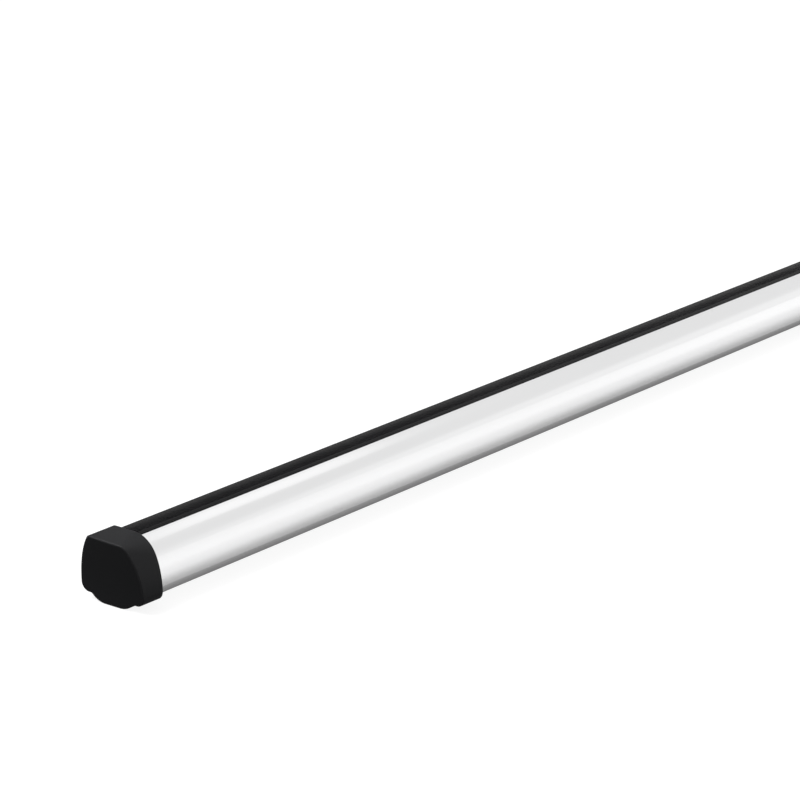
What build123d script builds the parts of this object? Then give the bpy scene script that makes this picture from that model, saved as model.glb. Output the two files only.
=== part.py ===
"""Roof rack crossbar: a hollow aluminium extrusion with a rubber infill strip along its top
track and a moulded plug cap in each end.

Millimetres. +X runs along the bar, +Y across it and +Z up. The origin is under the middle of
the bar, on the plane that the two caps rest on.
"""
from build123d import *
import os
from math import acos, asin, atan2, cos, degrees, radians, sin, sqrt

# Extruded bar, outside
bar_length = 1156.0
bar_width = 45.4
bar_top = 39.5
bar_foot = 6.1
bar_keel = 2.0
crown_flat = 2.7
shoulder_sweep = 67.0
foot_radius = 6.0
keel_flat = 5.5
keel_round = 13.0
keel_fillet = 1.2

# Extruded bar, inside
wall = 2.0
web = 1.8
chamber_round = 0.9
edge_round = 0.3

# Track along the top, open upwards: a rebate, a slot between two lips, and a wide channel
rebate_width = 14.3
rebate_depth = 2.7
track_slot = 11.0
track_lip = 1.8
track_width = 21.0
track_height = 7.5

# Channel in the keel, open downwards
keel_slot = 9.6
keel_lip = 2.0
keel_channel_width = 17.2
keel_channel_height = 6.0

# Rubber infill strip
strip_gap = 0.2
strip_rise = 3.7
strip_crown = 0.25
strip_edge_round = 0.85
leg_thickness = 1.7
leg_drop = 4.6
barb_reach = 1.1
barb_height = 1.9

# Moulded end cap, outside
cap_depth = 22.3
cap_low_depth = 16.2
cap_upright_height = 4.5
cap_side_lip = 1.1
cap_top_lip = 1.15
cap_under_lip = 2.0
cap_foot_radius = 5.5
cap_far_flat = 10.9
cap_far_sweep = 50.0
cap_brow_flat = 13.8
cap_brow_sweep = 60.0
cap_brow_drop = 0.9
cap_nose_narrowing = 0.3
cap_face_bow = 520.0
cap_front_bevel = 0.6
cap_rim_bevel = 0.3

# Moulded end cap, the legs that plug it into the bar
plug_length = 18.0
plug_root = 2.0
plug_wall = 1.6
plug_clearance = 0.25

# Levels that follow from the sizes above
rebate_floor = bar_top - rebate_depth
track_ceiling = rebate_floor - track_lip
track_floor = track_ceiling - track_height
keel_channel_floor = bar_keel + keel_lip
keel_channel_roof = keel_channel_floor + keel_channel_height
cap_top = bar_top + cap_top_lip
bar_end = bar_length / 2
corner_reach = 1e-4


def corners(section, half_width, above):
    """The section's corners that stand half_width off centre and higher than above."""
    return section.vertices().filter_by(
        lambda v: abs(abs(v.X) - half_width) < corner_reach and v.Y > above
    )


def outline(side, top, under, foot_round, near=None, far=None):
    """The bar's section grown by side, top and under, as one face: across in X, up in Y.

    Each side is a flat crown, a shoulder arc, a bowed flank and a round foot corner. The flank
    is level with the foot corner where they meet, which sets its radius and the shoulder's.
    near and far give each side's crown half-width, shoulder sweep and drop, if not the bar's.
    """
    half = bar_width / 2 + side
    foot = bar_foot - under
    keel = bar_keel - under
    foot_x = half - foot_round
    foot_y = foot + foot_round
    round_under = keel_round + under
    buried = foot + wall - keel
    keel_turn = acos((round_under - buried) / round_under)
    keel_reach = keel_flat + round_under * sin(keel_turn)
    junction = keel_flat + sqrt(round_under**2 - (round_under - foot + keel) ** 2)
    crown = []
    with BuildSketch() as face:
        with BuildLine():
            for hand, shape in ((-1, near), (1, far)):
                flat, sweep, drop = shape or (crown_flat, shoulder_sweep, 0)
                level = bar_top + top - drop
                across, along = sin(radians(sweep)), cos(radians(sweep))
                spill = (1 - across) / along
                shoulder = half - flat - spill * (level - foot_y)
                shoulder /= across - spill * (1 - along)
                flank = (level - foot_y - shoulder * (1 - along)) / along
                crown.append((hand * flat, level))
                CenterArc((hand * flat, level - shoulder), shoulder, 90, -hand * sweep)
                flank_centre = (hand * (half - flank), foot_y)
                CenterArc(flank_centre, flank, 90 - hand * sweep, hand * (sweep - 90))
                foot_centre = (hand * foot_x, foot_y)
                CenterArc(foot_centre, foot_round, 90 - hand * 90, -hand * 90)
                Line((hand * foot_x, foot), (0, foot))
            Line(*crown)
        make_face()
        with BuildLine():
            Line((0, keel), (keel_flat, keel))
            CenterArc((keel_flat, keel + round_under), round_under, -90, degrees(keel_turn))
            Line((keel_reach, keel + buried), (0, keel + buried))
            mirror(about=Plane.YZ)
        make_face()
        fillet(corners(face, junction, foot - keel_fillet), radius=keel_fillet)
    return face.sketch_local


def chambers(inset):
    """The bar's three closed chambers, each drawn in by inset all round."""
    with BuildSketch() as hollow:
        add(outline(-wall, -wall, -wall, foot_radius - wall))
        with Locations((0, track_floor - web)):
            track_block = (track_width + 2 * web, bar_top - track_floor + web)
            Rectangle(*track_block, align=(Align.CENTER, Align.MIN), mode=Mode.SUBTRACT)
        with Locations((0, bar_keel)):
            keel_block = (keel_channel_width + 2 * web, keel_channel_roof + web - bar_keel)
            Rectangle(*keel_block, align=(Align.CENTER, Align.MIN), mode=Mode.SUBTRACT)
        web_centre = (keel_channel_width + web) / 2
        with Locations((-web_centre, bar_keel), (web_centre, bar_keel)):
            Rectangle(web, bar_top, align=(Align.CENTER, Align.MIN), mode=Mode.SUBTRACT)
        offset(amount=-chamber_round, kind=Kind.INTERSECTION, mode=Mode.REPLACE)
        offset(amount=chamber_round - inset, kind=Kind.ARC, mode=Mode.REPLACE)
    return hollow.sketch_local


# Bar: one extrusion, with the chambers, the top track and the keel channel through its length
with BuildSketch() as bar_section:
    add(outline(0, 0, 0, foot_radius))
    add(chambers(0), mode=Mode.SUBTRACT)
    with Locations((0, rebate_floor)):
        Rectangle(rebate_width, bar_top, align=(Align.CENTER, Align.MIN), mode=Mode.SUBTRACT)
    with Locations((0, track_floor)):
        Rectangle(track_slot, bar_top, align=(Align.CENTER, Align.MIN), mode=Mode.SUBTRACT)
        Rectangle(track_width, track_height, align=(Align.CENTER, Align.MIN), mode=Mode.SUBTRACT)
    with Locations((0, keel_channel_roof)):
        Rectangle(keel_slot, bar_top, align=(Align.CENTER, Align.MAX), mode=Mode.SUBTRACT)
        channel = (keel_channel_width, keel_channel_height)
        Rectangle(*channel, align=(Align.CENTER, Align.MAX), mode=Mode.SUBTRACT)
    lips = corners(bar_section, rebate_width / 2, rebate_floor + edge_round)
    lips += corners(bar_section, track_slot / 2, track_floor)
    lips += corners(bar_section, keel_slot / 2, 0)
    fillet(lips, radius=edge_round)

with BuildPart() as bar:
    with BuildSketch(Plane.YZ.offset(-bar_end)):
        add(bar_section.sketch_local)
    extrude(amount=bar_length)
bar.part.label = "bar_extrusion"

# Strip: a crowned head that fills the rebate and two barbed legs that hook under the lips
head_half = rebate_width / 2 - strip_gap
head_side = rebate_floor + strip_rise
leg_half = track_slot / 2 - strip_gap
barb_top = track_ceiling - strip_gap
with BuildPart() as strip:
    with BuildSketch(Plane.YZ.offset(-bar_end)) as strip_section:
        with BuildLine():
            Line((-head_half, rebate_floor), (-head_half, head_side))
            crown_point = (0, head_side + strip_crown)
            ThreePointArc((-head_half, head_side), crown_point, (head_half, head_side))
            Line((head_half, head_side), (head_half, rebate_floor))
            Line((head_half, rebate_floor), (-head_half, rebate_floor))
        make_face()
        shoulders = strip_section.vertices().group_by(Axis.Y)[-1]
        fillet(shoulders, radius=strip_edge_round)
        with BuildLine():
            Polyline(
                (leg_half, rebate_floor),
                (leg_half, barb_top),
                (leg_half + barb_reach, barb_top),
                (leg_half, barb_top - barb_height),
                (leg_half, rebate_floor - leg_drop),
                (leg_half - leg_thickness, rebate_floor - leg_drop),
                (leg_half - leg_thickness, rebate_floor),
                close=True,
            )
        make_face()
        mirror(about=Plane.YZ)
    extrude(amount=bar_length)
strip.part.label = "top_strip"


# Cap: a lofted block with a swept-back face, and two hollow legs that enter the side chambers.
# Its rim follows the bar on the near side and is squared off on the far one, and a brow stands
# out over the near shoulder towards the front.
cap_rise = cap_top - cap_upright_height
cap_sweep_back = cap_depth - cap_low_depth
cap_overrun = 6.0
cap_reach = cap_depth + cap_overrun
cap_rim = (cap_side_lip, cap_top_lip, cap_under_lip)
cap_nose = (cap_side_lip - cap_nose_narrowing, cap_top_lip, cap_under_lip)
cap_far = (cap_far_flat, cap_far_sweep, 0)
cap_near = (crown_flat, shoulder_sweep, 0)
cap_brow = (cap_brow_flat, cap_brow_sweep, cap_brow_drop)


def swept_face():
    """A block whose front is the cap's face: upright at the foot, swept forward up to the top."""
    radius = (cap_rise**2 + cap_sweep_back**2) / (2 * cap_sweep_back)
    turn = degrees(asin((cap_rise + cap_overrun) / radius))
    centre = (-bar_end - cap_low_depth - radius, cap_upright_height)
    bow_centre = -bar_end - cap_depth + cap_face_bow
    half_spread = degrees(atan2(bar_width, cap_face_bow))
    with BuildPart() as block:
        with BuildSketch(Plane.XZ):
            with BuildLine():
                front = CenterArc(centre, radius, -turn, 2 * turn)
                low, high = front @ 0, front @ 1
                Polyline((high.X, high.Y), (-bar_end, high.Y), (-bar_end, low.Y), (low.X, low.Y))
            make_face()
        revolve(axis=Axis((bow_centre, 0, 0), (0, 0, 1)), revolution_arc=half_spread)
        mirror(about=Plane.XZ)
    return block.part


with BuildPart() as left_cap:
    with BuildSketch(Plane.YZ.offset(-bar_end)):
        add(outline(*cap_rim, cap_foot_radius, cap_near, cap_far))
    with BuildSketch(Plane.YZ.offset(-bar_end - cap_reach)):
        add(outline(*cap_nose, cap_foot_radius, cap_brow, cap_far))
    loft()
    add(swept_face(), mode=Mode.INTERSECT)
    chamfer(left_cap.faces().sort_by(Axis.X)[0].edges(), length=cap_front_bevel)
    chamfer(left_cap.faces().sort_by(Axis.X)[-1].edges(), length=cap_rim_bevel)
    with BuildSketch(Plane.YZ.offset(-bar_end + plug_length)):
        add(chambers(plug_clearance))
        add(chambers(plug_clearance + plug_wall), mode=Mode.SUBTRACT)
        Rectangle(keel_channel_width + web, 2 * bar_top, mode=Mode.SUBTRACT)
    extrude(amount=-plug_length - plug_root)
left_cap.part.label = "left_end_cap"

with BuildPart() as right_cap:
    add(left_cap.part.mirror(Plane.YZ))
right_cap.part.label = "right_end_cap"

os.makedirs("parts", exist_ok=True)
for piece in (bar, strip, left_cap, right_cap):
    export_step(piece.part, f"parts/{piece.part.label}.step")
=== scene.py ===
"""A roof rack crossbar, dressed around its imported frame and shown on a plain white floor."""
from math import cos, radians, sin
import bmesh
import bpy
from mathutils import Matrix, Vector


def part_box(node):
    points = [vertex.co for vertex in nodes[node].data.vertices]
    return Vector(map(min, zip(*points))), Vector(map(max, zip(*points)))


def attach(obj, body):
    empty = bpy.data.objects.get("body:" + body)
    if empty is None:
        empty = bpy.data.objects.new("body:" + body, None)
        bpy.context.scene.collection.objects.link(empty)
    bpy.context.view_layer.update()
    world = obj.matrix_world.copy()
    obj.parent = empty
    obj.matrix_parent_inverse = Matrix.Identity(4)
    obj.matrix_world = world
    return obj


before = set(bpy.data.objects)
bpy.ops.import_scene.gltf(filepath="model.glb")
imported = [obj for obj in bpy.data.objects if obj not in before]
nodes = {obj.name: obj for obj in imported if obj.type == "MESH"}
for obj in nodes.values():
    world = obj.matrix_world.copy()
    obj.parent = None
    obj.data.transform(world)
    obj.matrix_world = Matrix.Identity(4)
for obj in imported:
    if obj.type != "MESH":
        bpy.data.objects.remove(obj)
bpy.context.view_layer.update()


# Bar. One aluminium extrusion, drawn through a die and then satin anodised. The die leaves
# faint lines along the bar, and the etch before anodising leaves a very fine even grain.
silver_dark = (0.745, 0.745, 0.749, 1)
silver_light = (0.77, 0.77, 0.773, 1)
die_line_height = 0.00001
etch_height = 0.000006


def new_material(name):
    """A material whose shader is empty: the tree, the shader and the object's coordinates."""
    material = bpy.data.materials.new(name)
    material.use_nodes = True
    tree = material.node_tree
    shader = tree.nodes["Principled BSDF"]
    place = tree.nodes.new("ShaderNodeTexCoord").outputs["Object"]
    return material, tree, shader, place


def drawn_grain():
    """A node group: noise on given coordinates, stretched by a factor for each axis."""
    group = bpy.data.node_groups.new("drawn_grain", "ShaderNodeTree")
    face = group.interface
    face.new_socket("Vector", in_out="INPUT", socket_type="NodeSocketVector")
    face.new_socket("Stretch", in_out="INPUT", socket_type="NodeSocketVector")
    face.new_socket("Scale", in_out="INPUT", socket_type="NodeSocketFloat")
    face.new_socket("Detail", in_out="INPUT", socket_type="NodeSocketFloat")
    face.new_socket("Grain", in_out="OUTPUT", socket_type="NodeSocketFloat")
    given = group.nodes.new("NodeGroupInput")
    mapping = group.nodes.new("ShaderNodeMapping")
    noise = group.nodes.new("ShaderNodeTexNoise")
    result = group.nodes.new("NodeGroupOutput")
    group.links.new(given.outputs["Vector"], mapping.inputs["Vector"])
    group.links.new(given.outputs["Stretch"], mapping.inputs["Scale"])
    group.links.new(mapping.outputs["Vector"], noise.inputs["Vector"])
    group.links.new(given.outputs["Scale"], noise.inputs["Scale"])
    group.links.new(given.outputs["Detail"], noise.inputs["Detail"])
    group.links.new(noise.outputs["Fac"], result.inputs["Grain"])
    return group


drawn_grain_group = drawn_grain()


def drawn(tree, place, scale, stretch, detail):
    """The drawn grain on the object's own coordinates."""
    node = tree.nodes.new("ShaderNodeGroup")
    node.node_tree = drawn_grain_group
    node.inputs["Stretch"].default_value = stretch
    node.inputs["Scale"].default_value = scale
    node.inputs["Detail"].default_value = detail
    tree.links.new(place, node.inputs["Vector"])
    return node.outputs["Grain"]


def ranged(tree, value, low, high):
    """The value, which runs from 0 to 1, spread between low and high."""
    spread = tree.nodes.new("ShaderNodeMapRange")
    spread.inputs["To Min"].default_value = low
    spread.inputs["To Max"].default_value = high
    tree.links.new(value, spread.inputs["Value"])
    return spread.outputs["Result"]


def bumped(tree, height, distance, strength, under=None):
    """A bump of the height, on top of the normal under it if there is one."""
    bump = tree.nodes.new("ShaderNodeBump")
    bump.inputs["Distance"].default_value = distance
    bump.inputs["Strength"].default_value = strength
    tree.links.new(height, bump.inputs["Height"])
    if under is not None:
        tree.links.new(under, bump.inputs["Normal"])
    return bump.outputs["Normal"]


def tinted(tree, value, dark, light):
    """A colour between dark and light, each a colour or a socket, by a value from 0 to 1."""
    mix = tree.nodes.new("ShaderNodeMix")
    mix.data_type = "RGBA"
    for side, colour in (("A", dark), ("B", light)):
        if isinstance(colour, tuple):
            mix.inputs[side].default_value = colour
        else:
            tree.links.new(colour, mix.inputs[side])
    tree.links.new(value, mix.inputs["Factor"])
    return mix.outputs["Result"]


def anodised_aluminium():
    """Silver metal with lines along the bar, a fine etch, and a slow cloud in tone and gloss."""
    material, tree, shader, place = new_material("satin_anodised_aluminium")
    die_lines = drawn(tree, place, scale=1.0, stretch=(0.9, 1400.0, 1400.0), detail=3.0)
    etch = drawn(tree, place, scale=5200.0, stretch=(1.0, 1.0, 1.0), detail=2.0)
    cloud = drawn(tree, place, scale=26.0, stretch=(0.35, 1.0, 1.0), detail=2.0)
    colour = tinted(tree, cloud, silver_dark, silver_light)
    roughness = ranged(tree, cloud, low=0.21, high=0.26)
    lined = bumped(tree, die_lines, die_line_height, strength=0.5)
    etched = bumped(tree, etch, etch_height, strength=0.4, under=lined)
    tree.links.new(colour, shader.inputs["Base Color"])
    tree.links.new(roughness, shader.inputs["Roughness"])
    tree.links.new(etched, shader.inputs["Normal"])
    shader.inputs["Metallic"].default_value = 1.0
    return material


def finish_node(name, material):
    """Gives a frame node its material and the slot that it takes its finish from."""
    node = nodes[name]
    node.data.materials.clear()
    node.data.materials.append(material)


finish_node("bar_extrusion", anodised_aluminium())


# Strip. A black rubber infill, extruded, pressed into the track between the lips. Its skin has
# a low sheen, with the fine drag lines of the die and a soft grain.
rubber_dark = (0.0045, 0.0045, 0.0052, 1)
rubber_light = (0.0065, 0.0065, 0.0073, 1)
rubber_painted_groove_shade = (0.002, 0.002, 0.002, 1)
painted_shade_reach = 0.003
rubber_sheen = 0.15
rubber_grain_height = 0.00003


def soft_grain():
    """A node group: a fine grain, and a slow cloud of light and dark, on given coordinates."""
    group = bpy.data.node_groups.new("soft_grain", "ShaderNodeTree")
    face = group.interface
    face.new_socket("Vector", in_out="INPUT", socket_type="NodeSocketVector")
    face.new_socket("Grain Scale", in_out="INPUT", socket_type="NodeSocketFloat")
    face.new_socket("Cloud Scale", in_out="INPUT", socket_type="NodeSocketFloat")
    face.new_socket("Grain", in_out="OUTPUT", socket_type="NodeSocketFloat")
    face.new_socket("Cloud", in_out="OUTPUT", socket_type="NodeSocketFloat")
    given = group.nodes.new("NodeGroupInput")
    result = group.nodes.new("NodeGroupOutput")
    for output, detail in (("Grain", 3.0), ("Cloud", 2.0)):
        noise = group.nodes.new("ShaderNodeTexNoise")
        noise.inputs["Detail"].default_value = detail
        group.links.new(given.outputs["Vector"], noise.inputs["Vector"])
        group.links.new(given.outputs[output + " Scale"], noise.inputs["Scale"])
        group.links.new(noise.outputs["Fac"], result.inputs[output])
    return group


soft_grain_group = soft_grain()


def grained(tree, place, grain_scale, cloud_scale):
    """The soft grain's two outputs on the object's own coordinates."""
    node = tree.nodes.new("ShaderNodeGroup")
    node.node_tree = soft_grain_group
    node.inputs["Grain Scale"].default_value = grain_scale
    node.inputs["Cloud Scale"].default_value = cloud_scale
    tree.links.new(place, node.inputs["Vector"])
    return node.outputs["Grain"], node.outputs["Cloud"]


def openness_for_painted_shade(tree, reach):
    """How open a place is, which sets the painted shade: 0 deep in a groove, 1 where nothing
    stands within reach.
    """
    shade = tree.nodes.new("ShaderNodeAmbientOcclusion")
    shade.samples = 8
    shade.inputs["Distance"].default_value = reach
    open_part = tree.nodes.new("ShaderNodeMapRange")
    open_part.inputs["From Min"].default_value = 0.6
    open_part.inputs["From Max"].default_value = 1.0
    tree.links.new(shade.outputs["AO"], open_part.inputs["Value"])
    return open_part.outputs["Result"]


def black_rubber():
    """Black rubber with drag lines and a soft grain, and painted shade that darkens it where it
    meets the metal.
    """
    material, tree, shader, place = new_material("black_infill_rubber")
    grain, cloud = grained(tree, place, grain_scale=1900.0, cloud_scale=30.0)
    drag = drawn(tree, place, scale=1.0, stretch=(2.0, 1100.0, 1100.0), detail=2.0)
    clouded = tinted(tree, cloud, rubber_dark, rubber_light)
    # Painted shade: the colour goes darker in the groove where the strip meets the metal.
    colour = tinted(tree, openness_for_painted_shade(tree, painted_shade_reach), rubber_painted_groove_shade, clouded)
    roughness = ranged(tree, cloud, low=0.19, high=0.24)
    dragged = bumped(tree, drag, rubber_grain_height, strength=0.5)
    skin = bumped(tree, grain, rubber_grain_height, strength=0.5, under=dragged)
    tree.links.new(colour, shader.inputs["Base Color"])
    tree.links.new(roughness, shader.inputs["Roughness"])
    tree.links.new(skin, shader.inputs["Normal"])
    shader.inputs["Specular IOR Level"].default_value = rubber_sheen
    return material


finish_node("top_strip", black_rubber())


# Caps. Black plastic mouldings, one in each end of the bar, with the fine spark texture that
# such a mould gives. They are a push fit, so nothing fastens them. Their edges are slightly
# rounded, and a painted highlight makes their colour paler along the edges.
plastic_dark = (0.009, 0.0091, 0.0103, 1)
plastic_light = (0.0125, 0.0126, 0.0141, 1)
plastic_painted_edge_highlight = (0.042, 0.042, 0.045, 1)
edge_radius = 0.0009
edge_strength = 12.0
plastic_sheen = 0.16
spark_height = 0.00004


def rounded_edges_and_highlight_mask(tree, radius, strength):
    """The normal with its edges rounded, and how far each place is along such an edge, for the
    painted highlight.
    """
    rounded = tree.nodes.new("ShaderNodeBevel")
    rounded.samples = 8
    rounded.inputs["Radius"].default_value = radius
    plain = tree.nodes.new("ShaderNodeNewGeometry").outputs["Normal"]
    alike = tree.nodes.new("ShaderNodeVectorMath")
    alike.operation = "DOT_PRODUCT"
    tree.links.new(rounded.outputs["Normal"], alike.inputs[0])
    tree.links.new(plain, alike.inputs[1])
    edge = tree.nodes.new("ShaderNodeMapRange")
    edge.inputs["From Min"].default_value = 1.0
    edge.inputs["From Max"].default_value = 1.0 - 1.0 / strength
    tree.links.new(alike.outputs["Value"], edge.inputs["Value"])
    return rounded.outputs["Normal"], edge.outputs["Result"]


def moulded_plastic():
    """Black plastic with a spark texture, and a painted highlight that makes it paler along its
    edges.
    """
    material, tree, shader, place = new_material("black_moulded_plastic")
    grain, cloud = grained(tree, place, grain_scale=1500.0, cloud_scale=45.0)
    clouded = tinted(tree, cloud, plastic_dark, plastic_light)
    rounded, edge = rounded_edges_and_highlight_mask(tree, edge_radius, edge_strength)
    # Painted highlight: the colour is lighter along the rounded edges.
    painted_edge_highlight = tinted(tree, edge, clouded, plastic_painted_edge_highlight)
    roughness = ranged(tree, cloud, low=0.48, high=0.56)
    skin = bumped(tree, grain, spark_height, strength=0.5, under=rounded)
    tree.links.new(painted_edge_highlight, shader.inputs["Base Color"])
    tree.links.new(roughness, shader.inputs["Roughness"])
    tree.links.new(skin, shader.inputs["Normal"])
    shader.inputs["Specular IOR Level"].default_value = plastic_sheen
    return material


plastic = moulded_plastic()
finish_node("left_end_cap", plastic)
finish_node("right_end_cap", plastic)


# Floor. A plain white floor that the caps rest on. It shows white to the camera, a little
# darker where the bar shades it, and throws little light back up at the object.
floor_size = (60, 60)
floor_lit_tone = (0.3, 0.3, 0.3, 1)
floor_glow = 0.88
floor_bounce_tone = (0.08, 0.08, 0.08, 1)


def plane(name, centre, size, turn=Matrix.Identity(4)):
    """A flat stage sheet that faces up before its turn, with its place in its mesh."""
    shape = bmesh.new()
    bmesh.ops.create_grid(shape, x_segments=1, y_segments=1, size=0.5)
    scale = Matrix.Diagonal((size[0], size[1], 1, 1))
    shape.transform(Matrix.Translation(centre) @ turn @ scale)
    mesh = bpy.data.meshes.new(name)
    shape.to_mesh(mesh)
    shape.free()
    sheet = bpy.data.objects.new(name, mesh)
    bpy.context.scene.collection.objects.link(sheet)
    return sheet


def light_path_share(tree):
    """1 for what the camera sees directly, in a reflection or through glass, and 0 for light."""
    path = tree.nodes.new("ShaderNodeLightPath")
    seen = path.outputs["Is Camera Ray"]
    for kind in ("Is Glossy Ray", "Is Transmission Ray"):
        both = tree.nodes.new("ShaderNodeMath")
        both.operation = "MAXIMUM"
        tree.links.new(seen, both.inputs[0])
        tree.links.new(path.outputs[kind], both.inputs[1])
        seen = both.outputs[0]
    return seen


def white_floor():
    """White with the object's shadow where it is seen, and a darker grey for its own light."""
    material = bpy.data.materials.new("white_floor")
    material.use_nodes = True
    tree = material.node_tree
    tree.nodes.clear()
    lit = tree.nodes.new("ShaderNodeBsdfDiffuse")
    lit.inputs["Color"].default_value = floor_lit_tone
    glow = tree.nodes.new("ShaderNodeEmission")
    glow.inputs["Strength"].default_value = floor_glow
    white = tree.nodes.new("ShaderNodeAddShader")
    tree.links.new(lit.outputs["BSDF"], white.inputs[0])
    tree.links.new(glow.outputs["Emission"], white.inputs[1])
    bounce = tree.nodes.new("ShaderNodeBsdfDiffuse")
    bounce.inputs["Color"].default_value = floor_bounce_tone
    pick = tree.nodes.new("ShaderNodeMixShader")
    tree.links.new(light_path_share(tree), pick.inputs["Fac"])
    tree.links.new(bounce.outputs["BSDF"], pick.inputs[1])
    tree.links.new(white.outputs["Shader"], pick.inputs[2])
    out = tree.nodes.new("ShaderNodeOutputMaterial")
    tree.links.new(pick.outputs["Shader"], out.inputs["Surface"])
    return material


floor = plane("floor", centre=(0, 0, 0), size=floor_size)
floor.data.materials.append(white_floor())


# Cards. Two grey ones, as in a product studio, that show only in the object's own reflections.
# One lies on the floor under the bar and gives the low side of the metal its dark edge. The
# other stands behind, above the horizon, and keeps the strip and the tops of the caps dark.
def glowing_card(name, axis, edges, tones):
    """A card's material, whose grey runs from one tone to the other between two edges."""
    material = bpy.data.materials.new(name)
    material.use_nodes = True
    tree = material.node_tree
    tree.nodes.clear()
    place = tree.nodes.new("ShaderNodeTexCoord").outputs["Object"]
    along = tree.nodes.new("ShaderNodeSeparateXYZ")
    tree.links.new(place, along.inputs["Vector"])
    shade = tree.nodes.new("ShaderNodeMapRange")
    shade.inputs["From Min"].default_value, shade.inputs["From Max"].default_value = edges
    shade.inputs["To Min"].default_value, shade.inputs["To Max"].default_value = tones
    tree.links.new(along.outputs[axis], shade.inputs["Value"])
    glow = tree.nodes.new("ShaderNodeEmission")
    tree.links.new(shade.outputs["Result"], glow.inputs["Strength"])
    out = tree.nodes.new("ShaderNodeOutputMaterial")
    tree.links.new(glow.outputs["Emission"], out.inputs["Surface"])
    return material


def only_in_reflections(card):
    """Hides a card from the camera, the light and the shadows."""
    card.visible_camera = False
    card.visible_diffuse = False
    card.visible_shadow = False
    card.visible_transmission = False


floor_card = plane("floor_card", centre=(0, 0.0615, 0.0004), size=(2.6, 0.277))
floor_grey = glowing_card("floor_grey", "Y", edges=(-0.018, -0.077), tones=(0.22, 0.64))
floor_card.data.materials.append(floor_grey)
only_in_reflections(floor_card)

upright = Matrix.Rotation(radians(90), 4, "X")
back_card = plane("back_card", centre=(1.5, 1.5, 1.1), size=(6, 1.2), turn=upright)
back_grey = glowing_card("back_grey", "Z", edges=(0.5, 0.7), tones=(0.8, 0.0))
back_card.data.materials.append(back_grey)
only_in_reflections(back_card)


# Light. A white room, with two long soft boxes beside the bar, one low and one higher, a small
# one over its middle, and a large one above and to the left for the caps and the strip.
room_light = 0.33
room_seen = 1.0


def world_light():
    """A white world that shows full white and lights the object more gently."""
    world = bpy.data.worlds.new("studio")
    bpy.context.scene.world = world
    world.use_nodes = True
    tree = world.node_tree
    backdrop = tree.nodes["Background"]
    backdrop.inputs["Color"].default_value = (1, 1, 1, 1)
    strength = ranged(tree, light_path_share(tree), low=room_light, high=room_seen)
    tree.links.new(strength, backdrop.inputs["Strength"])


def soft_box(name, place, aim, size, power):
    """A rectangular soft box at place, turned to aim."""
    lamp = bpy.data.lights.new(name, "AREA")
    lamp.shape = "RECTANGLE"
    lamp.size, lamp.size_y = size
    lamp.energy = power
    box = bpy.data.objects.new(name, lamp)
    bpy.context.scene.collection.objects.link(box)
    box.location = place
    box.rotation_euler = (Vector(aim) - Vector(place)).to_track_quat("-Z", "Y").to_euler()


world_light()
soft_box(
    "low_side_box", place=(1.5, -1.5, 0.11), aim=(0, 0, 0.11), size=(5.0, 0.22), power=1.45
)
soft_box(
    "high_side_box", place=(1.5, -1.5, 0.62), aim=(0, 0, 0.1), size=(5.0, 0.8), power=2.0
)
soft_box(
    "end_box", place=(-0.09, 0.02, 0.42), aim=(-0.09, 0.02, 0), size=(0.27, 0.24), power=0.06
)
soft_box(
    "top_box", place=(-0.95, 0.9, 1.8), aim=(-0.5, 0, 0), size=(1.3, 1.0), power=34.0
)


# Camera. It stands where the photograph was taken from: the rear rim of the near cap, on the
# bar's middle line, lies this far right, up and away from the lens.
view_azimuth = radians(-51.635)
view_elevation = radians(17.738)
lens_mm = 143.48
sensor_mm = 36.0
far_clip = 100.0
rim_right, rim_up, rim_away = -0.14896, -0.07026, 1.7591
rim_height = 0.04179

forward = Vector(
    (
        -sin(view_azimuth) * cos(view_elevation),
        cos(view_azimuth) * cos(view_elevation),
        -sin(view_elevation),
    )
)
right = Vector((cos(view_azimuth), sin(view_azimuth), 0))
upward = right.cross(forward)
bar_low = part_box("bar_extrusion")[0]
rim = Vector((bar_low.x, 0, rim_height))
lens = bpy.data.cameras.new("camera")
lens.sensor_width = sensor_mm
lens.lens = lens_mm
lens.clip_end = far_clip
camera = bpy.data.objects.new("camera", lens)
bpy.context.scene.collection.objects.link(camera)
camera.location = rim - right * rim_right - upward * rim_up - forward * rim_away
camera.rotation_mode = "QUATERNION"
camera.rotation_quaternion = forward.to_track_quat("-Z", "Y")
bpy.context.scene.camera = camera
bpy.context.scene.view_settings.view_transform = "Standard"

for node in nodes.values():
    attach(node, "root")
